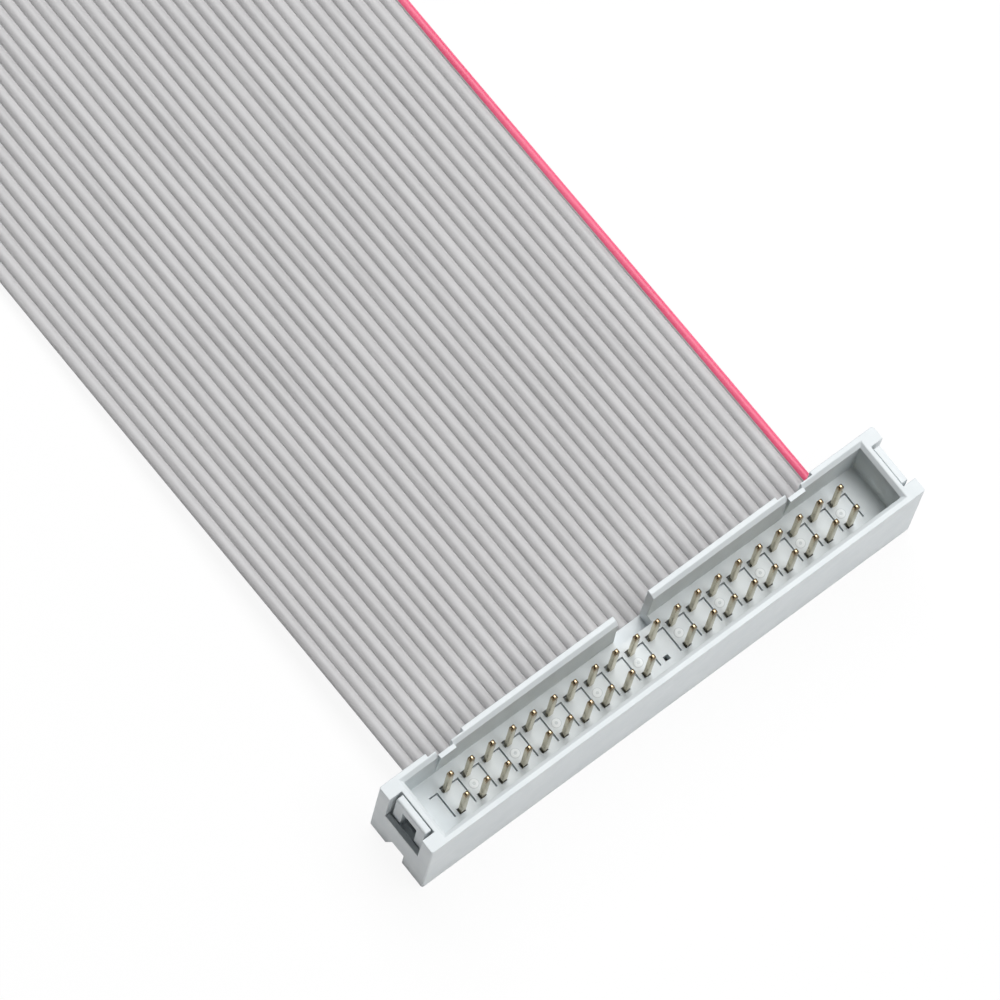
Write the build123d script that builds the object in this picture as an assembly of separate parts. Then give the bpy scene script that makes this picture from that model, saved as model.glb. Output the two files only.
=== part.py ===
from build123d import *
import math
import os

# A 40-wire ribbon cable with a keyed box header at one end and a matching socket at the other.
# Millimetres. X runs along the header, +Y along the ribbon away from it, +Z up out of its mouth.
# The origin is the middle of the header's underside, where the header stands.

# Contact grid, shared by the header and the socket
pitch = 2.54
columns = 20
rows = 2
blank_column = 10

# Ribbon: level in both connectors, drooping to the surface between them
ribbon_thickness = 0.90
ribbon_bevel = 0.26
ribbon_route = [
    (0, -3.1, 3.25),
    (0, 9.9, 3.25),
    (0, 33.1, 2.53),
    (0, 78.1, 0.73),
    (0, 149.3, 0.5),
    (0, 220.5, 0.73),
    (0, 265.5, 2.53),
    (0, 288.7, 3.25),
    (0, 301.7, 3.25),
]
arc_share = 0.45

# Header body
cavity_margin = 4.07
cavity_width = 6.3
header_height = 12.0
floor_thickness = 2.55
side_wall = 0.965
end_wall = 0.87
arm_slot = 0.88
end_plate = 0.60
corner_round = 0.25
lead_in = 0.42
lead_in_depth = 0.80
front_skirt = 0.80
recess_width = 5.0
recess_rise = 0.50
end_notch_width = 2.5
end_notch_height = 2.2
end_notch_offset = 0.35
end_notch_slant = 0.80
keyway_width = 4.3
keyway_offset = 0.25
keyway_drop = 2.05
keyway_reach = 0.77

# Stepped grooves outside the header's cable-side wall, each with a leaning rib inside
left_groove_place = -22.75
right_groove_place = 20.45
groove_width = 4.35
groove_depth = 0.39
rib_width = 1.9
rib_shift = -0.30
rib_stand = 0.35
rib_wall = 0.50

# Holes and slits in the header's floor
post_relief = 0.12
post_relief_depth = 0.85
slit_width = 0.18
slit_length = 2.98
slit_depth = 0.60
slit_offset = 0.25
slit_shift = -0.06
slit_tick = 0.85

# Contacts: the fork over a wire is the same at both ends
fork_width = 1.15
fork_thickness = 0.40
fork_slot = 0.30
fork_reach = 0.75
fork_room = 0.10
tine_point = 0.35
shoulder_height = 1.10
post_width = 0.62
post_thickness = 0.53
post_drop = 0.15
tip_width = 0.34
tip_length = 0.45

# Header cover and its latch arms
snap_gap = 0.05
land_gap = 0.15
arm_width = 4.4
arm_drop = 0.10
arm_bevel = 0.15
window_width = 2.1
window_height = 4.15
window_drop = 1.85
window_pocket = 0.60
barb_width = 2.2
barb_height = 0.95
barb_stand = 0.40
barb_rise = 0.75

# Socket at the far end
socket_margin = 3.82
socket_width = 6.1
socket_height = 7.5
socket_inset = 0.35
key_gap = 0.15
key_stand = 0.70
key_height = 5.5
entry_width = 0.95
entry_mouth = 1.55
entry_mouth_depth = 0.45
beam_gap = 0.50
beam_drop = 1.20
beam_root = 1.15
socket_arm_thickness = 0.95
socket_arm_width = 3.4
socket_arm_height = 3.0
hook_height = 0.80
hook_stand = 0.45

overrun = 1.0

# Faces, levels and places that several pieces share
wire_pitch = pitch / rows
wire_shift = wire_pitch / 2
row_place = pitch / 2
column_span = (columns - 1) * pitch
column_places = [column * pitch - column_span / 2 for column in range(columns)]
ribbon_width = (rows * columns - 1) * wire_pitch + ribbon_thickness
ribbon_rise = ribbon_route[0][2]
ribbon_top = ribbon_rise + ribbon_thickness / 2
ribbon_bottom = ribbon_rise - ribbon_thickness / 2

cavity_length = column_span + 2 * cavity_margin
header_width = cavity_width + 2 * side_wall
wall_face = cavity_length / 2 + end_wall
plate_face = wall_face + arm_slot
end_face = plate_face + end_plate
inner_face = cavity_width / 2
back_face = header_width / 2
skirt_face = front_skirt - back_face
floor_level = ribbon_top + floor_thickness
recess_level = floor_level + recess_rise
window_top = header_height - window_drop
barb_level = ribbon_top + barb_rise
barb_top = barb_level + barb_height
shoulder_top = ribbon_top + shoulder_height
trench_top = shoulder_top + fork_room
fork_tip = ribbon_bottom - fork_reach
fork_edge = wire_shift + fork_width / 2

socket_end = column_span / 2 + socket_margin
socket_side = socket_width / 2
socket_top = ribbon_top + socket_height
socket_place = ribbon_route[-1][1] + socket_inset - socket_side
socket_arm_top = ribbon_top + socket_arm_height
hook_level = socket_arm_top - hook_height


def prism(plan, low, high):
    """The solid that a plan outline fills between two heights."""
    return extrude(Plane.XY.offset(low) * plan, high - low)


def area(x_low, x_high, y_low, y_high):
    """A rectangle in plan between two X and two Y places."""
    middle = Pos((x_low + x_high) / 2, (y_low + y_high) / 2)
    return middle * Rectangle(x_high - x_low, y_high - y_low)


def blade(outline, width, plane=Plane.XZ):
    """An upright outline, in X and Z or in Y and Z, thickened equally to both sides of its plane."""
    return extrude(plane * make_face(outline), width / 2, both=True)


def tapered(plan, height, inset):
    """The solid that rises from a plan outline at zero height and narrows by an inset."""
    lean = math.degrees(math.atan(inset / height))
    return extrude(plan, height, taper=lean)


def mouth(plan, top, depth, inset):
    """The hollow that goes down from a plan outline at its top and narrows by an inset."""
    return Pos(0, 0, top) * Rot(180, 0, 0) * tapered(plan, depth, inset)


def both_ends(solid):
    """A solid and its mirror image at the other end of the connector."""
    return [solid, mirror(solid, about=Plane.YZ)]


def contact_places(side, blank_side=0):
    """Where the contacts of one row stand. The blank place of the keyed row is left out."""
    return [
        (x, side * row_place)
        for column, x in enumerate(column_places)
        if side != blank_side or column != blank_column
    ]


def copies(solid, places):
    """Separate copies of one solid, as one group."""
    return Compound([Pos(x, y, 0) * solid for x, y in places])


def header_body():
    """Box header: a mouth above its floor, room for the cover below, a latch recess at each end."""
    body = prism(RectangleRounded(2 * end_face, header_width, corner_round), 0, header_height)
    wide_mouth = Rectangle(cavity_length + 2 * lead_in, cavity_width + 2 * lead_in)
    body -= prism(Rectangle(cavity_length, cavity_width), floor_level, header_height)
    body -= mouth(wide_mouth, header_height, lead_in_depth, lead_in)

    # Ribs fill the mouth's edge first, then their grooves are cut behind them.
    rib, hollow = leaning_rib(0), leaning_rib(rib_wall)
    for place in (left_groove_place, right_groove_place):
        to_rib = Pos(place + rib_shift, 0, 0)
        groove_left, groove_right = place - groove_width / 2, place + groove_width / 2
        groove = area(groove_left, groove_right, back_face - groove_depth, back_face + overrun)
        body += to_rib * rib
        body -= prism(groove, floor_level, header_height)
        body -= to_rib * hollow
    keyway_left, keyway_right = keyway_offset - keyway_width / 2, keyway_offset + keyway_width / 2
    keyway = area(keyway_left, keyway_right, inner_face - keyway_reach, back_face + overrun)
    body -= prism(keyway, floor_level - keyway_drop, header_height)

    # The cover's room, the latch recesses with their arm slots, and the notch in each end plate
    body -= prism(area(-plate_face, plate_face, skirt_face, back_face + overrun), 0, ribbon_top)
    slot_half = arm_width / 2 + 2 * snap_gap
    end_cuts = [
        prism(area(wall_face, end_face, -recess_width / 2, recess_width / 2), recess_level, header_height),
        prism(area(wall_face, plate_face, -slot_half, slot_half), 0, header_height),
        prism(area(wall_face - window_pocket, wall_face, -window_width / 2, window_width / 2),
              barb_top, window_top),
        barb(snap_gap),
    ]
    for cut in end_cuts:
        body -= both_ends(cut)
    notch_front = end_notch_offset - end_notch_width / 2
    notch_back = end_notch_offset + end_notch_width / 2
    notch = Polyline(
        (notch_front, 0),
        (notch_front, end_notch_height),
        (notch_back - end_notch_slant, end_notch_height),
        (notch_back, 0),
        close=True,
    )
    body -= blade(notch, 2 * end_face + overrun, Plane.YZ)

    # Tight holes, widened on two sides where a post stands, above a trench for the shoulders
    seat = Rectangle(post_width, post_thickness)
    relief_size = Rectangle(post_width + post_relief, post_thickness + post_relief)
    relief_level = floor_level - post_relief_depth
    for side in (-1, 1):
        relief = Pos(-post_relief / 2, side * post_relief / 2) * relief_size
        posts = contact_places(side, blank_side=-1)
        body -= [prism(Pos(x, y) * seat, trench_top, floor_level) for x, y in contact_places(side)]
        body -= [prism(Pos(x, y) * relief, relief_level, floor_level) for x, y in posts]
        body -= shoulder_trench(side)
    return body - floor_slits()


def leaning_rib(inset):
    """Rib that leans into the mouth towards its top, or with an inset the hollow behind it."""
    foot, top = inner_face + inset, inner_face - rib_stand + inset
    outline = Polyline(
        (foot, floor_level),
        (top, header_height),
        (back_face, header_height),
        (back_face, floor_level),
        close=True,
    )
    return blade(outline, rib_width, Plane.YZ)


def shoulder_trench(side):
    """Room under one row of a connector for the shoulders of its contacts."""
    half_length = column_span / 2 + fork_edge + fork_room
    half_width = post_thickness / 2
    middle = side * row_place
    plan = area(-half_length, half_length, middle - half_width, middle + half_width)
    return prism(plan, ribbon_top, trench_top)


def floor_slits():
    """Hooked slits in the header's floor, one before the first column and one after each column."""
    first = column_places[0] - pitch / 2 + slit_offset
    front, back = slit_shift - slit_length / 2, slit_shift + slit_length / 2
    slits = []
    for number in range(columns + 1):
        x = first + number * pitch
        line = area(x, x + slit_width, front, back)
        tick = area(x - slit_tick, x, back - slit_width, back)
        slits.append(prism(line + tick, floor_level - slit_depth, floor_level))
    return slits


def barb(gap):
    """Wedge on the right-hand latch arm's inner face, or with a gap the pocket that it snaps into."""
    foot = wall_face + snap_gap
    tip = wall_face - barb_stand - gap
    low, high = barb_level - gap, barb_top + gap
    return blade(Polyline((foot, low), (tip, low), (foot, high), close=True), barb_width + 2 * gap)


def fork_pockets():
    """Rooms in a cover for the tines of both rows, each under the wire that its contact takes."""
    room = Rectangle(fork_width + 2 * fork_room, fork_thickness + 2 * fork_room)
    return [
        prism(Pos(x - side * wire_shift, y) * room, fork_tip - fork_room, ribbon_bottom)
        for side in (-1, 1)
        for x, y in contact_places(side)
    ]


def header_cover():
    """Clamp bar under the ribbon, with a latch arm at each end that snaps into the body."""
    front, back = skirt_face + snap_gap, back_face - snap_gap
    arm_face, bar_end = wall_face + snap_gap, plate_face - snap_gap
    cover = prism(area(-bar_end, bar_end, front, back), 0, ribbon_bottom)
    land = prism(area(ribbon_width / 2 + land_gap, bar_end, front, back), 0, ribbon_top - snap_gap)
    arm = prism(area(arm_face, bar_end, -arm_width / 2, arm_width / 2), 0, header_height - arm_drop)
    top_edges = arm.edges().filter_by(Axis.Y).group_by(Axis.Z)[-1]
    arm = chamfer(top_edges.sort_by(Axis.X)[-1], arm_bevel)
    window = area(arm_face, bar_end, -window_width / 2, window_width / 2)
    arm = arm - prism(window, window_top - window_height, window_top) + barb(0)
    return cover + both_ends(land) + both_ends(arm) - fork_pockets()


def fork_points():
    """A contact's lower end in X and Z: two pointed tines with the wire's slot between them."""
    left, right = -fork_edge, fork_width - fork_edge
    slot_left, slot_right = -wire_shift - fork_slot / 2, fork_slot / 2 - wire_shift
    slot_mouth = fork_tip + tine_point
    return [
        (left, shoulder_top),
        (left, fork_tip),
        (slot_left, slot_mouth),
        (slot_left, ribbon_top),
        (slot_right, ribbon_top),
        (slot_right, slot_mouth),
        (right, fork_tip),
        (right, ribbon_top),
    ]


def header_pin():
    """Post with a tapered tip, on a flat shoulder that leads to the fork over its wire."""
    post_top = header_height - post_drop
    tip_foot = post_top - tip_length
    edge = post_width / 2
    section = Rectangle(post_width, post_thickness)
    foot = Polyline(*fork_points(), (edge, ribbon_top), (edge, shoulder_top), close=True)
    post = prism(section, shoulder_top, tip_foot)
    tip = Pos(0, 0, tip_foot) * tapered(section, tip_length, (post_width - tip_width) / 2)
    return blade(foot, fork_thickness) + post + tip


def ribbon():
    """Flat strip with bevelled edges, carried along the route with large arcs at its corners."""
    points = [Vector(*point) for point in ribbon_route]
    runs = [end - start for start, end in zip(points, points[1:])]
    radii = []
    for run, following in zip(runs, runs[1:]):
        half_turn = math.radians(run.get_angle(following) / 2)
        radii.append(arc_share * min(run.length, following.length) / math.tan(half_turn))
    path = FilletPolyline(*points, radius=radii)
    strip_outline = Rectangle(ribbon_width, ribbon_thickness)
    section = chamfer(strip_outline.vertices(), ribbon_bevel)
    start = Plane(origin=path @ 0, x_dir=(1, 0, 0), z_dir=path % 0)
    strip = sweep(start * section, path=path)
    print("ribbon radii", [round(radius, 1) for radius in radii], "length", round(path.length, 2))
    expected = section.area * path.length
    print("ribbon volume", round(strip.volume, 2), "section times length", round(expected, 2))
    return strip


def socket_body():
    """Socket housing with two rows of funnel entries and a keying bump on the ribbon's side."""
    body = prism(Rectangle(2 * socket_end, socket_width), ribbon_top, socket_top)
    key_half = keyway_width / 2 - key_gap
    key = area(keyway_offset - key_half, keyway_offset + key_half, -socket_side - key_stand, -socket_side)
    body += prism(key, socket_top - key_height, socket_top)
    mouth_level = socket_top - entry_mouth_depth
    entry = prism(Rectangle(entry_width, entry_width), trench_top, mouth_level)
    entry_inset = (entry_mouth - entry_width) / 2
    funnel = mouth(Rectangle(entry_mouth, entry_mouth), socket_top, entry_mouth_depth, entry_inset)
    for side in (-1, 1):
        places = contact_places(side, blank_side=1)
        body -= [Pos(x, y, 0) * entry for x, y in places]
        body -= [Pos(x, y, 0) * funnel for x, y in places]
        body -= shoulder_trench(side)
    hook_half = socket_arm_width / 2
    pocket = area(socket_end - hook_stand - snap_gap, socket_end, -hook_half, hook_half)
    return body - both_ends(prism(pocket, hook_level - snap_gap, socket_arm_top))


def socket_cover():
    """Clamp bar of the socket, with a hooked arm at each end."""
    arm_face = socket_end + snap_gap
    bar_end = arm_face + socket_arm_thickness
    cover = prism(area(-bar_end, bar_end, -socket_side, socket_side), 0, ribbon_bottom)
    land = area(ribbon_width / 2 + land_gap, bar_end, -socket_side, socket_side)
    arm = prism(area(arm_face, bar_end, -socket_arm_width / 2, socket_arm_width / 2), 0, socket_arm_top)
    hook_tip = arm_face - hook_stand
    hook = Polyline((arm_face, hook_level), (hook_tip, hook_level), (arm_face, socket_arm_top), close=True)
    arm += blade(hook, socket_arm_width - 2 * snap_gap)
    return cover + both_ends(prism(land, 0, ribbon_top - snap_gap)) + both_ends(arm) - fork_pockets()


def socket_contact():
    """Stamped double fork: sprung beams that grip a post above, the wire's fork below."""
    edge, gap = entry_width / 2 - snap_gap, beam_gap / 2
    beam_top = socket_top - entry_mouth_depth - beam_drop
    root = shoulder_top + beam_root
    outline = Polyline(
        *fork_points(),
        (edge, ribbon_top),
        (edge, beam_top),
        (gap, beam_top),
        (gap, root),
        (-gap, root),
        (-gap, beam_top),
        (-edge, beam_top),
        (-edge, shoulder_top),
        close=True,
    )
    return blade(outline, fork_thickness)


def main():
    pin, contact = header_pin(), socket_contact()
    front_pin, odd_contact = mirror(pin, about=Plane.YZ), mirror(contact, about=Plane.YZ)
    to_socket = Pos(0, socket_place, 0)
    nodes = {
        "header_body": header_body(),
        "header_cover": header_cover(),
        "header_pins_back": copies(pin, contact_places(1)),
        "header_pins_front": copies(front_pin, contact_places(-1, blank_side=-1)),
        "ribbon": ribbon(),
        "socket_body": to_socket * socket_body(),
        "socket_cover": to_socket * socket_cover(),
        "socket_contacts_odd": to_socket * copies(odd_contact, contact_places(-1)),
        "socket_contacts_even": to_socket * copies(contact, contact_places(1, blank_side=1)),
    }
    os.makedirs("parts", exist_ok=True)
    for name, shape in nodes.items():
        export_step(shape, os.path.join("parts", name + ".step"))


main()
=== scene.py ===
import math
import random

import bmesh
import bpy
from mathutils import Matrix, Vector


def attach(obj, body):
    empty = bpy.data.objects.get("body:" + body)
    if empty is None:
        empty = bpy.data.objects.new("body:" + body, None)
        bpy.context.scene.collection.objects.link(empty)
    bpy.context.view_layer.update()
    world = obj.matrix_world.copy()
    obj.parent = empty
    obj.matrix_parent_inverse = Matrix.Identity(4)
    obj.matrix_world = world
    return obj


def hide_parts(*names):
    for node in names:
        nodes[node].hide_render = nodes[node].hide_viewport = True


# A grey ribbon cable with a red edge wire, crimped in a pale box header full of gold posts,
# with a socket on its far end.
# Metres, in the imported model's frame: X along the header, +Y along the ribbon, +Z up.

MM = 0.001

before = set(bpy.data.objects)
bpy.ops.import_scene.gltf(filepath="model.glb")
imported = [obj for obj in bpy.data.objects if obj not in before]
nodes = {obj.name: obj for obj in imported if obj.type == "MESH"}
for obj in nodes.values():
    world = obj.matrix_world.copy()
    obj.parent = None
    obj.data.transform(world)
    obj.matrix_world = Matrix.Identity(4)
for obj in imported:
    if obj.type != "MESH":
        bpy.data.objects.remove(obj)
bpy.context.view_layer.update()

# Camera: where the photograph was taken from, with its frame's middle on the lens axis
camera_place = Vector((-229.598, -146.582, 832.443)) * MM
camera_right = Vector((0.78121, -0.61772, 0.09013))
camera_down = Vector((-0.56713, -0.76262, -0.31108))
sensor_width = 36.0
focal_ratio = 8.98894
clip_near = 0.01
clip_far = 100

# Ribbon: its middle's route in millimetres, then the lobes of its section and the red edge wire
ribbon_route = [
    (0, -3.1, 3.25),
    (-0.11, 9.9, 3.25),
    (-0.29, 33.1, 2.53),
    (-0.55, 78.1, 0.73),
    (-0.40, 149.3, 0.5),
    (-0.10, 220.5, 0.73),
    (0, 265.5, 2.53),
    (0, 288.7, 3.25),
    (0, 301.7, 3.25),
]
route_steps = 8
wire_count = 40
wire_pitch = 1.27 * MM
lobe_height = 0.45 * MM
lobe_reach = 0.649 * MM
lobe_spread = 0.012 * MM
lobe_seed = 7
plain_edge_reach = 0.70 * MM
red_edge_reach = 0.45 * MM
red_half = 0.44 * MM
lobe_facets = 12
groove_turn = math.radians(60)

# Header and socket
pitch = 2.54 * MM
columns = 20
blank_column = 10
no_blank = -1
row_place = 1.27 * MM
first_column = -24.13 * MM
floor_level = 6.25 * MM
socket_place = 299.0 * MM
lead_in_foot = 11.2 * MM
lead_in_lift = 0.39 * MM
cavity_length = 56.4 * MM
cavity_width = 6.3 * MM
# Places that get painted shade: the blank hole, and the pockets behind the latch windows
opening_half = 0.36 * MM
window_half = 1.06 * MM
window_inside = (28.4 * MM, 29.06 * MM)
window_top = 10.2 * MM
same_place = 0.01 * MM

# Rounded edges, and the places where edges stay sharp or are rounded less
edge_round = 0.13 * MM
edge_steps = 3
sharp_turn = math.radians(25)
flat_turn = math.radians(0.5)
join_gap = 0.0005 * MM
floor_room = (28.1 * MM, 3.1 * MM, 6.3 * MM)
cover_room = (29.9 * MM, -3.2 * MM, 3.75 * MM)
arm_slot_ends = (28.4 * MM, 29.9 * MM)
arm_slot_half = 2.35 * MM
arm_slot_top = 6.7 * MM
groove_places = (-22.75 * MM, 20.45 * MM)
groove_half = 2.4 * MM
groove_wall = 2.5 * MM
thin_wall_share = 0.4
tine_room_half = 26 * MM
tine_room_foot = 0.1 * MM
socket_room = (25.5 * MM, 2.4 * MM)

# Posts, and the outline in millimetres of the fork below each one
post_width = 0.62 * MM
post_thickness = 0.53 * MM
post_corner = 0.09 * MM
post_top = 11.85 * MM
post_foot = 4.75 * MM
tip_length = 0.45 * MM
tip_share = 0.22
tip_rings = 6
gold_levels = (10.6 * MM, 11.45 * MM)
corner_steps = 3
corner_ease_share = 0.98
post_turn = math.radians(50)
back_post_shift = (0.05 * MM, 0.09 * MM)
front_post_shift = (0.02 * MM, 0.06 * MM)
fork_thickness = 0.40 * MM
fork_outline = [
    (-1.21, 4.8),
    (-1.21, 2.05),
    (-0.785, 2.4),
    (-0.785, 3.7),
    (-0.485, 3.7),
    (-0.485, 2.4),
    (-0.06, 2.05),
    (-0.06, 3.7),
    (0.31, 3.7),
    (0.31, 4.8),
]

# Ejector marks on the header's floor, one at every second column, each with a darker flat ring round it
# that is a painted shadow line: radii and heights in millimetres
mark_facets = 28
mark_profile = [(0.46, -0.03), (0.46, 0.03), (0.42, 0.04), (0.21, 0.04), (0.15, 0.005)]
mark_painted_shade_ring_profile = [(0.53, -0.03), (0.53, 0.012)]

# Skins: a pair of tones is the darker and the lighter one, a scale is in grains to the metre,
# and a stretch is smaller along the axis that a pattern is drawn out on
noise_low = 0.3
noise_high = 0.7
pale_tones = ((0.68, 0.725, 0.745), (0.725, 0.765, 0.78))
# Lighter than the floor round them: painted sheen on the ejector marks' faces
mark_sheen_tones = ((0.75, 0.785, 0.80), (0.79, 0.82, 0.83))
# Darker ring round each ejector mark: a painted shadow line at the mark's edge
painted_gap_shade_tones = ((0.55, 0.59, 0.605), (0.595, 0.63, 0.645))
# Near black and without shine: painted shade inside the blank hole and behind the latch windows
painted_shade_tones = ((0.012, 0.010, 0.008), (0.022, 0.018, 0.015))
plastic_shine = 0.5
plastic_roughness = (0.40, 0.54)
cloud_scale = 260
satin_scale = 900
plastic_grain_scale = 5200
plastic_grain = 0.004 * MM
grey_tones = ((0.47, 0.465, 0.47), (0.56, 0.555, 0.56))
grey_roughness = (0.37, 0.50)
red_tones = ((0.76, 0.11, 0.21), (0.85, 0.15, 0.265))
red_roughness = (0.31, 0.44)
wire_tone_share = 0.25
sheath_glow_share = 0.4
sheath_glow = 0.3 * MM
streak_scale = 900
streak_stretch = (1, 0.06, 1)
sheath_grain_scale = 2600
sheath_grain_stretch = (1, 0.15, 1)
sheath_grain = 0.006 * MM
plating_tone = (0.535, 0.48, 0.35)
gold_tone = (0.45, 0.34, 0.215)
metal_roughness = (0.18, 0.26)
scratch_scale = 4200
scratch_stretch = (1, 1, 0.2)
scratch_depth = 0.0006 * MM

# Stage, in metres and watts: each softbox has its width, length, power, place and aim
floor_size = 40
floor_tone = 0.92
floor_glow_share = 0.92
sky_strength = 0.05
softboxes = (
    ("overhead_softbox", 0.8, 2.2, 27.8, (0.48, 0.36, 1.15), (0, 0, -1)),
    ("front_softbox", 0.8, 0.8, 2.4, (0.30, -1.2, 0.5), (-0.3, 1.23, -0.5)),
)


def add_camera():
    """A camera at the photograph's viewpoint."""
    lens = bpy.data.cameras.new("photo_camera")
    lens.sensor_width = sensor_width
    lens.lens = sensor_width * focal_ratio
    lens.clip_start = clip_near
    lens.clip_end = clip_far
    camera = bpy.data.objects.new("photo_camera", lens)
    bpy.context.collection.objects.link(camera)
    up = -camera_down.normalized()
    back = camera_right.cross(up).normalized()
    right = up.cross(back)
    turn = Matrix((right, up, back)).transposed().to_4x4()
    camera.matrix_world = Matrix.Translation(camera_place) @ turn
    bpy.context.scene.camera = camera


def new_piece(name, mesh, slot, *replaced):
    """An object for a finished mesh, at the origin, riding on the part."""
    piece = bpy.data.objects.new(name, mesh)
    bpy.context.collection.objects.link(piece)
    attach(piece, "root")
    if replaced:
        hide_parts(*replaced)
    return piece


def finished_mesh(name, mesh, add_modifier):
    """The plain mesh that a modifier makes of another mesh."""
    holder = bpy.data.objects.new(name, mesh)
    bpy.context.collection.objects.link(holder)
    add_modifier(holder)
    bpy.context.view_layer.update()
    made = bpy.data.meshes.new_from_object(holder.evaluated_get(bpy.context.evaluated_depsgraph_get()))
    bpy.data.objects.remove(holder)
    made.name = name
    return made


def route_line():
    """Points along the ribbon's middle, read from its smooth spline."""
    curve = bpy.data.curves.new("ribbon_route", "CURVE")
    curve.dimensions = "3D"
    curve.resolution_u = route_steps
    spline = curve.splines.new("NURBS")
    spline.points.add(len(ribbon_route) - 1)
    for point, place in zip(spline.points, ribbon_route):
        point.co = (*(Vector(place) * MM), 1)
    spline.order_u = 3
    spline.use_endpoint_u = True
    holder = bpy.data.objects.new("ribbon_route", curve)
    bpy.context.collection.objects.link(holder)
    bpy.context.view_layer.update()
    line = bpy.data.meshes.new_from_object(holder.evaluated_get(bpy.context.evaluated_depsgraph_get()))
    points = [vertex.co.copy() for vertex in line.vertices]
    bpy.data.objects.remove(holder)
    bpy.data.meshes.remove(line)
    return points


def lobed_outline():
    """One closed section of the ribbon: (across, above) along the top, then back below."""
    draws = random.Random(lobe_seed)
    groove = math.acos(wire_pitch / 2 / lobe_reach)
    top = []
    for wire in range(wire_count):
        middle = (wire - (wire_count - 1) / 2) * wire_pitch
        height = lobe_height - draws.uniform(0, lobe_spread)
        first, last = wire == 0, wire == wire_count - 1
        low = 0 if first else groove
        high = 0 if last else groove
        for step in range(lobe_facets + last):
            turn = low + (math.pi - low - high) * step / lobe_facets
            reach = lobe_reach
            if first and turn < math.pi / 2:
                reach = plain_edge_reach
            if last and turn > math.pi / 2:
                reach = red_edge_reach
            top.append((middle - reach * math.cos(turn), height * math.sin(turn)))
    below = [(across, -above) for across, above in reversed(top[1:-1])]
    return top + below


def build_ribbon(line, skins):
    """The ribbon: its lobed section carried along the line. The last wire, at +X, has the red skin."""
    outline = lobed_outline()
    red_start = (wire_count - 1) / 2 * wire_pitch - red_half
    around = len(outline)
    shape = bmesh.new()
    rings = []
    for index, point in enumerate(line):
        ahead = line[min(index + 1, len(line) - 1)] - line[max(index - 1, 0)]
        above = Vector((1, 0, 0)).cross(ahead).normalized()
        rings.append([shape.verts.new(point + Vector((x, 0, 0)) + above * z) for x, z in outline])
    for near, far in zip(rings, rings[1:]):
        for step in range(around):
            following = (step + 1) % around
            side = shape.faces.new((near[step], far[step], far[following], near[following]))
            side.smooth = True
            red = (outline[step][0] + outline[following][0]) / 2 > red_start
            side.material_index = 1 if red else 0
    shape.faces.new(rings[0])
    shape.faces.new(reversed(rings[-1]))
    bmesh.ops.recalc_face_normals(shape, faces=shape.faces)
    mesh = bpy.data.meshes.new("ribbon_wires")
    shape.to_mesh(mesh)
    shape.free()
    mesh.set_sharp_from_angle(angle=groove_turn)
    for skin in skins:
        mesh.materials.append(skin)
    return new_piece("ribbon_wires", mesh, "ribbon", "ribbon")


def header_edge_share(place):
    """How far an edge of the header's body is rounded: holes, slits and the cover's room stay sharp."""
    x, y, z = place
    out = abs(x)
    half_length, half_width, top = floor_room
    in_floor = out < half_length and abs(y) < half_width and z < top
    half_length, front, top = cover_room
    in_cover_room = out < half_length and y > front and z < top
    near, far = arm_slot_ends
    in_arm_slot = near < out < far and abs(y) < arm_slot_half and z < arm_slot_top
    if in_floor or in_cover_room or in_arm_slot:
        return 0
    by_groove = min(abs(x - middle) for middle in groove_places) < groove_half
    return thin_wall_share if by_groove and y > groove_wall else 1


def cover_edge_share(place):
    """How far an edge of a clamp bar is rounded: the rooms for the tines stay sharp."""
    return 0 if abs(place.x) < tine_room_half and place.z > tine_room_foot else 1


def socket_edge_share(place):
    """How far an edge of the socket's body is rounded: its entries and trenches stay sharp."""
    half_length, half_width = socket_room
    return 0 if abs(place.x) < half_length and abs(place.y - socket_place) < half_width else 1


def lift_lead_in(shape):
    """Raises the foot of the lead-in round the header's mouth, to the slope that the photograph shows."""
    for corner in shape.verts:
        at_foot = abs(corner.co.z - lead_in_foot) < same_place
        in_length = abs(corner.co.x) < cavity_length / 2 + same_place
        in_width = abs(corner.co.y) < cavity_width / 2 + same_place
        if at_foot and in_length and in_width:
            corner.co.z += lead_in_lift


def in_painted_shade_opening(place):
    """Whether a face of the header's body is inside the blank hole or behind a latch window, where it gets
    near-black painted shade.
    """
    along = abs(place.x - first_column - blank_column * pitch)
    across = abs(place.y + row_place)
    in_hole = max(along, across) < opening_half and place.z < floor_level - same_place
    low, high = window_inside
    return in_hole or low < abs(place.x) < high and abs(place.y) < window_half and place.z < window_top


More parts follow.
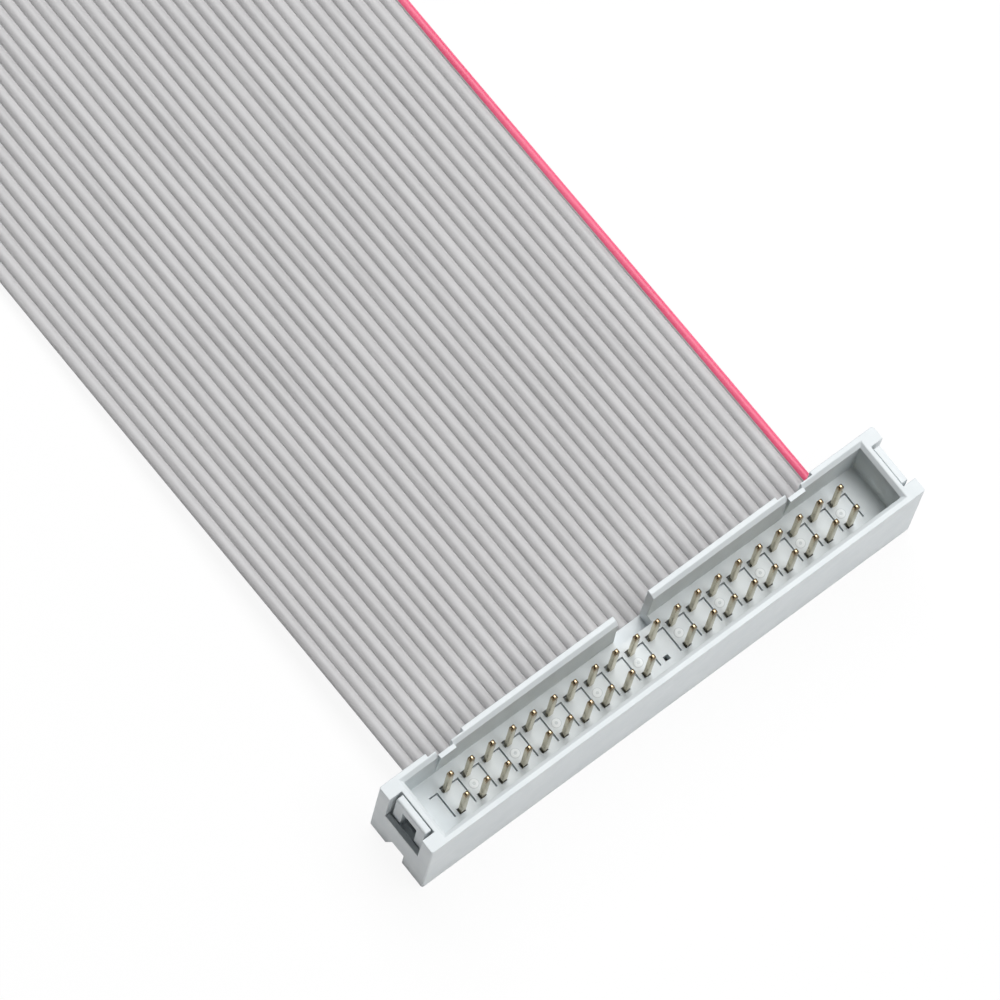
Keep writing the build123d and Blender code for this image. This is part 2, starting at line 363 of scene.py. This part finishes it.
def soften(name, node_name, edge_share, skins, slot, reshape=None, gets_painted_shade=None):
    """A copy of a CAD node with its triangles joined and its outer edges rounded, in its place. Faces that
    the shade test picks take the second skin, which is painted shade.
    """
    mesh = nodes[node_name].data.copy()
    shape = bmesh.new()
    shape.from_mesh(mesh)
    bmesh.ops.remove_doubles(shape, verts=shape.verts, dist=join_gap)
    bmesh.ops.dissolve_limit(shape, angle_limit=flat_turn, verts=shape.verts, edges=shape.edges)
    if reshape:
        reshape(shape)
    share = shape.edges.layers.float.new("bevel_weight_edge")
    for edge in shape.edges:
        turned = edge.is_manifold and edge.calc_face_angle() > sharp_turn
        edge[share] = edge_share((edge.verts[0].co + edge.verts[1].co) / 2) if turned else 0
    for face in shape.faces:
        face.smooth = True
        # Faces in the dark openings take skin 1, a near-black painted shade
        face.material_index = 1 if gets_painted_shade and gets_painted_shade(face.calc_center_median()) else 0
    for edge in shape.edges:
        edge.smooth = not edge.is_manifold or edge.calc_face_angle() < sharp_turn
    shape.to_mesh(mesh)
    shape.free()
    mesh.materials.clear()
    for skin in skins:
        mesh.materials.append(skin)

    def round_edges(holder):
        bevel = holder.modifiers.new("round_edges", "BEVEL")
        bevel.width = edge_round
        bevel.segments = edge_steps
        bevel.limit_method = "WEIGHT"
        bevel.harden_normals = True
        bevel.use_clamp_overlap = True

    return new_piece(name, finished_mesh(name, mesh, round_edges), slot, node_name)


def rounded_ring(width, thickness, corner):
    """Points of a rounded rectangle about the origin, anticlockwise."""
    points = []
    for quarter, (x, y) in enumerate(((1, 1), (-1, 1), (-1, -1), (1, -1))):
        for step in range(corner_steps + 1):
            turn = (quarter + step / corner_steps) * math.pi / 2
            middle_x, middle_y = x * (width / 2 - corner), y * (thickness / 2 - corner)
            points.append((middle_x + corner * math.cos(turn), middle_y + corner * math.sin(turn)))
    return points


def join_rings(shape, rings, smooth=False):
    """A closed shape from a stack of rings: bands of faces between them, and a cap on each end."""
    for low, high in zip(rings, rings[1:]):
        for step in range(len(low)):
            following = (step + 1) % len(low)
            band = shape.faces.new((low[step], low[following], high[following], high[step]))
            band.smooth = smooth
    shape.faces.new(reversed(rings[0])).smooth = smooth
    shape.faces.new(rings[-1]).smooth = smooth


def post_mesh(side):
    """One post with a rounded tip, and the fork below it that takes a wire, at the origin in plan."""
    shape = bmesh.new()
    levels = [(post_foot, 0), (post_top - tip_length, 0)]
    for ring in range(1, tip_rings + 1):
        turn = ring / tip_rings * math.pi / 2
        levels.append((post_top - tip_length * (1 - math.sin(turn)), 1 - math.cos(turn)))
    rings = []
    for level, inset in levels:
        keep = 1 - inset * (1 - tip_share)
        corner = post_corner + inset * (tip_share * post_thickness / 2 - post_corner)
        outline = rounded_ring(post_width * keep, post_thickness * keep, corner * corner_ease_share)
        rings.append([shape.verts.new((x, y, level)) for x, y in outline])
    join_rings(shape, rings, smooth=True)
    fork = []
    for y in (-fork_thickness / 2, fork_thickness / 2):
        fork.append([shape.verts.new((side * x * MM, y, z * MM)) for x, z in fork_outline])
    join_rings(shape, fork)
    bmesh.ops.recalc_face_normals(shape, faces=shape.faces)
    mesh = bpy.data.meshes.new("post")
    shape.to_mesh(mesh)
    shape.free()
    mesh.set_sharp_from_angle(angle=post_turn)
    return mesh


def turned_mesh(name, profile):
    """A low round shape from radii and heights over the header's floor, at the origin in plan."""
    shape = bmesh.new()
    turns = [step * 2 * math.pi / mark_facets for step in range(mark_facets)]
    rings = []
    for radius, height in profile:
        reach, level = radius * MM, floor_level + height * MM
        places = [(reach * math.cos(turn), reach * math.sin(turn), level) for turn in turns]
        rings.append([shape.verts.new(place) for place in places])
    join_rings(shape, rings)
    mesh = bpy.data.meshes.new(name)
    shape.to_mesh(mesh)
    shape.free()
    return mesh


def row_tree():
    """Geometry nodes that repeat a shape along X, leave one place out and give the copies a skin."""
    tree = bpy.data.node_groups.new("row_of_copies", "GeometryNodeTree")
    wanted = (
        ("Shape", "NodeSocketGeometry"),
        ("Count", "NodeSocketInt"),
        ("Spacing", "NodeSocketFloat"),
        ("First", "NodeSocketVector"),
        ("Blank", "NodeSocketInt"),
        ("Skin", "NodeSocketMaterial"),
    )
    for name, kind in wanted:
        tree.interface.new_socket(name, in_out="INPUT", socket_type=kind)
    tree.interface.new_socket("Row", in_out="OUTPUT", socket_type="NodeSocketGeometry")
    add = tree.nodes.new
    join = tree.links.new
    given, result = add("NodeGroupInput"), add("NodeGroupOutput")
    step = add("ShaderNodeCombineXYZ")
    line = add("GeometryNodeMeshLine")
    number = add("GeometryNodeInputIndex")
    left_out = add("FunctionNodeCompare")
    left_out.data_type = "INT"
    left_out.operation = "EQUAL"
    thin = add("GeometryNodeDeleteGeometry")
    place = add("GeometryNodeInstanceOnPoints")
    real = add("GeometryNodeRealizeInstances")
    dress = add("GeometryNodeSetMaterial")
    join(given.outputs["Spacing"], step.inputs["X"])
    join(given.outputs["Count"], line.inputs["Count"])
    join(given.outputs["First"], line.inputs["Start Location"])
    join(step.outputs["Vector"], line.inputs["Offset"])
    join(number.outputs["Index"], left_out.inputs[2])
    join(given.outputs["Blank"], left_out.inputs[3])
    join(line.outputs["Mesh"], thin.inputs["Geometry"])
    join(left_out.outputs["Result"], thin.inputs["Selection"])
    join(thin.outputs["Geometry"], place.inputs["Points"])
    join(given.outputs["Shape"], place.inputs["Instance"])
    join(place.outputs["Instances"], real.inputs["Geometry"])
    join(real.outputs["Geometry"], dress.inputs["Geometry"])
    join(given.outputs["Skin"], dress.inputs["Material"])
    join(dress.outputs["Geometry"], result.inputs["Row"])
    return tree


def repeat(name, mesh, tree, skin, slot, replaced=(), **values):
    """A piece made of copies of one mesh, set out by the row tree."""
    def add_row(holder):
        row = holder.modifiers.new("row", "NODES")
        row.node_group = tree
        for item in tree.interface.items_tree:
            if item.in_out == "INPUT" and item.name in values:
                row[item.identifier] = values[item.name]
            elif item.in_out == "INPUT" and item.name == "Skin":
                row[item.identifier] = skin

    return new_piece(name, finished_mesh(name, mesh, add_row), slot, *replaced)


def new_skin(name):
    """A new material, its node tree and the principled shader in it."""
    skin = bpy.data.materials.new(name)
    skin.use_nodes = True
    tree = skin.node_tree
    shader = tree.nodes["Principled BSDF"]
    return skin, tree, shader


def noise(tree, scale, stretch=(1, 1, 1), detail=3):
    """A noise pattern on the part's own coordinates, stretched along its axes."""
    place = tree.nodes.new("ShaderNodeTexCoord")
    lay = tree.nodes.new("ShaderNodeMapping")
    lay.inputs["Scale"].default_value = stretch
    pattern = tree.nodes.new("ShaderNodeTexNoise")
    pattern.inputs["Scale"].default_value = scale
    pattern.inputs["Detail"].default_value = detail
    tree.links.new(place.outputs["Object"], lay.inputs["Vector"])
    tree.links.new(lay.outputs["Vector"], pattern.inputs["Vector"])
    return pattern.outputs["Fac"]


def spread(tree, value, low, high, from_low=noise_low, from_high=noise_high):
    """A pattern's value carried to another range."""
    carry = tree.nodes.new("ShaderNodeMapRange")
    carry.inputs["From Min"].default_value = from_low
    carry.inputs["From Max"].default_value = from_high
    carry.inputs["To Min"].default_value = low
    carry.inputs["To Max"].default_value = high
    tree.links.new(value, carry.inputs["Value"])
    return carry.outputs["Result"]


def tint(tree, value, dark, light):
    """A colour between two, by a value from 0 to 1."""
    ramp = tree.nodes.new("ShaderNodeValToRGB")
    ramp.color_ramp.elements[0].color = (*dark, 1)
    ramp.color_ramp.elements[1].color = (*light, 1)
    tree.links.new(value, ramp.inputs["Fac"])
    return ramp.outputs["Color"]


def bump(tree, shader, height, depth):
    """Relief on a surface, as deep as given in metres."""
    relief = tree.nodes.new("ShaderNodeBump")
    relief.inputs["Strength"].default_value = 1
    relief.inputs["Distance"].default_value = depth
    tree.links.new(height, relief.inputs["Height"])
    tree.links.new(relief.outputs["Normal"], shader.inputs["Normal"])


def moulded_plastic(name, tones, shine=plastic_shine):
    """Moulded plastic: faint clouds of tone, a fine satin grain."""
    skin, tree, shader = new_skin(name)
    shader.inputs["Specular IOR Level"].default_value = shine
    clouds = spread(tree, noise(tree, cloud_scale, detail=4), 0, 1)
    tree.links.new(tint(tree, clouds, *tones), shader.inputs["Base Color"])
    tree.links.new(spread(tree, noise(tree, satin_scale), *plastic_roughness), shader.inputs["Roughness"])
    bump(tree, shader, noise(tree, plastic_grain_scale), plastic_grain)
    return skin


def wire_sheath(name, tones, roughness):
    """Extruded cable sheath, slightly translucent: drawn streaks, and a tone of its own on each wire."""
    skin, tree, shader = new_skin(name)
    shader.inputs["Subsurface Weight"].default_value = sheath_glow_share
    shader.inputs["Subsurface Radius"].default_value = (1, 1, 1)
    shader.inputs["Subsurface Scale"].default_value = sheath_glow
    place = tree.nodes.new("ShaderNodeTexCoord")
    split = tree.nodes.new("ShaderNodeSeparateXYZ")
    tree.links.new(place.outputs["Object"], split.inputs["Vector"])
    wire = tree.nodes.new("ShaderNodeMath")
    wire.operation = "SNAP"
    wire.inputs[1].default_value = wire_pitch
    tree.links.new(split.outputs["X"], wire.inputs[0])
    one_wire = tree.nodes.new("ShaderNodeTexWhiteNoise")
    one_wire.noise_dimensions = "1D"
    tree.links.new(wire.outputs["Value"], one_wire.inputs["W"])
    streaks = noise(tree, streak_scale, streak_stretch)
    blend = tree.nodes.new("ShaderNodeMath")
    blend.operation = "MULTIPLY_ADD"
    blend.inputs[1].default_value = wire_tone_share
    tree.links.new(one_wire.outputs["Value"], blend.inputs[0])
    tree.links.new(spread(tree, streaks, 0, 1 - wire_tone_share), blend.inputs[2])
    tree.links.new(tint(tree, blend.outputs["Value"], *tones), shader.inputs["Base Color"])
    tree.links.new(spread(tree, streaks, *roughness), shader.inputs["Roughness"])
    bump(tree, shader, noise(tree, sheath_grain_scale, sheath_grain_stretch), sheath_grain)
    return skin


def plated_metal():
    """Contact metal: gold flash at the tips of the posts, paler plating below, fine drawn scratches."""
    skin, tree, shader = new_skin("plated_metal")
    shader.inputs["Metallic"].default_value = 1
    place = tree.nodes.new("ShaderNodeTexCoord")
    split = tree.nodes.new("ShaderNodeSeparateXYZ")
    tree.links.new(place.outputs["Object"], split.inputs["Vector"])
    height = spread(tree, split.outputs["Z"], 0, 1, *gold_levels)
    tree.links.new(tint(tree, height, plating_tone, gold_tone), shader.inputs["Base Color"])
    scratches = noise(tree, scratch_scale, scratch_stretch)
    tree.links.new(spread(tree, scratches, *metal_roughness), shader.inputs["Roughness"])
    bump(tree, shader, scratches, scratch_depth)
    return skin


def seen_ray(tree):
    """1 on rays from the camera, mirrors and glass, and 0 on rays that only carry light."""
    path = tree.nodes.new("ShaderNodeLightPath")
    highest = path.outputs["Is Camera Ray"]
    for name in ("Is Glossy Ray", "Is Transmission Ray"):
        larger = tree.nodes.new("ShaderNodeMath")
        larger.operation = "MAXIMUM"
        tree.links.new(highest, larger.inputs[0])
        tree.links.new(path.outputs[name], larger.inputs[1])
        highest = larger.outputs["Value"]
    return highest


def floor_white():
    """White tabletop that keeps a soft part of the shadow on it."""
    skin = bpy.data.materials.new("floor_white")
    skin.use_nodes = True
    tree = skin.node_tree
    tree.nodes.remove(tree.nodes["Principled BSDF"])
    matt = tree.nodes.new("ShaderNodeBsdfDiffuse")
    matt.inputs["Color"].default_value = (floor_tone, floor_tone, floor_tone, 1)
    glow = tree.nodes.new("ShaderNodeEmission")
    mixed = tree.nodes.new("ShaderNodeMixShader")
    tree.links.new(spread(tree, seen_ray(tree), 0, floor_glow_share, 0, 1), mixed.inputs["Fac"])
    tree.links.new(matt.outputs["BSDF"], mixed.inputs[1])
    tree.links.new(glow.outputs["Emission"], mixed.inputs[2])
    tree.links.new(mixed.outputs["Shader"], tree.nodes["Material Output"].inputs["Surface"])
    return skin


def add_stage():
    """A white floor under the object, a long softbox high up towards +X and +Y, and a weak one in front."""
    bpy.ops.mesh.primitive_plane_add(size=floor_size, location=(0, 0, 0))
    floor = bpy.context.object
    floor.name = "floor"
    floor.data.materials.append(floor_white())
    world = bpy.data.worlds.new("studio")
    bpy.context.scene.world = world
    world.use_nodes = True
    sky = world.node_tree.nodes["Background"]
    sky.inputs["Color"].default_value = (1, 1, 1, 1)
    sky.inputs["Strength"].default_value = sky_strength
    for name, width, length, power, place, aim in softboxes:
        lamp = bpy.data.lights.new(name, "AREA")
        lamp.shape = "RECTANGLE"
        lamp.size = width
        lamp.size_y = length
        lamp.energy = power
        softbox = bpy.data.objects.new(name, lamp)
        bpy.context.collection.objects.link(softbox)
        back = -Vector(aim).normalized()
        across = Vector((0, 1, 0)).cross(back).normalized()
        turn = Matrix((across, back.cross(across), back)).transposed().to_4x4()
        softbox.matrix_world = Matrix.Translation(place) @ turn


add_camera()
bpy.context.scene.view_settings.view_transform = "Standard"
plastic = moulded_plastic("pale_plastic", pale_tones)
# Painted sheen on the ejector marks' faces
mark_sheen_plastic = moulded_plastic("mark_sheen_plastic", mark_sheen_tones)
# Painted shadow line round each ejector mark
painted_gap_shade_plastic = moulded_plastic("painted_gap_shade_plastic", painted_gap_shade_tones)
# Painted shade for the dark openings of the header
painted_shade_plastic = moulded_plastic("painted_shade_plastic", painted_shade_tones, shine=0)
metal = plated_metal()
grey_sheath = wire_sheath("grey_sheath", grey_tones, grey_roughness)
red_sheath = wire_sheath("red_sheath", red_tones, red_roughness)

# The ribbon, and the socket on its far end
line = route_line()
ribbon = build_ribbon(line, [grey_sheath, red_sheath])
socket_shell = soften("socket_shell", "socket_body", socket_edge_share, [plastic], "connector")
socket_clamp = soften("socket_clamp", "socket_cover", cover_edge_share, [plastic], "connector")
socket_contacts = [nodes["socket_contacts_odd"], nodes["socket_contacts_even"]]
for contacts in socket_contacts:
    contacts.data.materials.clear()
    contacts.data.materials.append(metal)

# The header
soften(
    "header_shell",
    "header_body",
    header_edge_share,
    [plastic, painted_shade_plastic],
    "connector",
    lift_lead_in,
    in_painted_shade_opening,
)
soften("header_clamp", "header_cover", cover_edge_share, [plastic], "connector")
row = row_tree()
post_rows = (
    ("back", 1, no_blank, back_post_shift),
    ("front", -1, blank_column, front_post_shift),
)
for name, side, blank, (right, forward) in post_rows:
    repeat(
        "posts_" + name,
        post_mesh(side),
        row,
        metal,
        "contact",
        ("header_pins_" + name,),
        Count=columns,
        Spacing=pitch,
        First=(first_column + right, side * row_place - forward, 0),
        Blank=blank,
    )
# The marks' faces, and the flat rings of painted shadow round them
marks = (
    ("ejector_marks", mark_profile, mark_sheen_plastic),
    ("ejector_mark_painted_shade_rings", mark_painted_shade_ring_profile, painted_gap_shade_plastic),
)
for name, profile, skin in marks:
    repeat(
        name,
        turned_mesh(name, profile),
        row,
        skin,
        "connector",
        Count=columns // 2,
        Spacing=2 * pitch,
        First=(first_column + pitch, 0, 0),
        Blank=no_blank,
    )
add_stage()
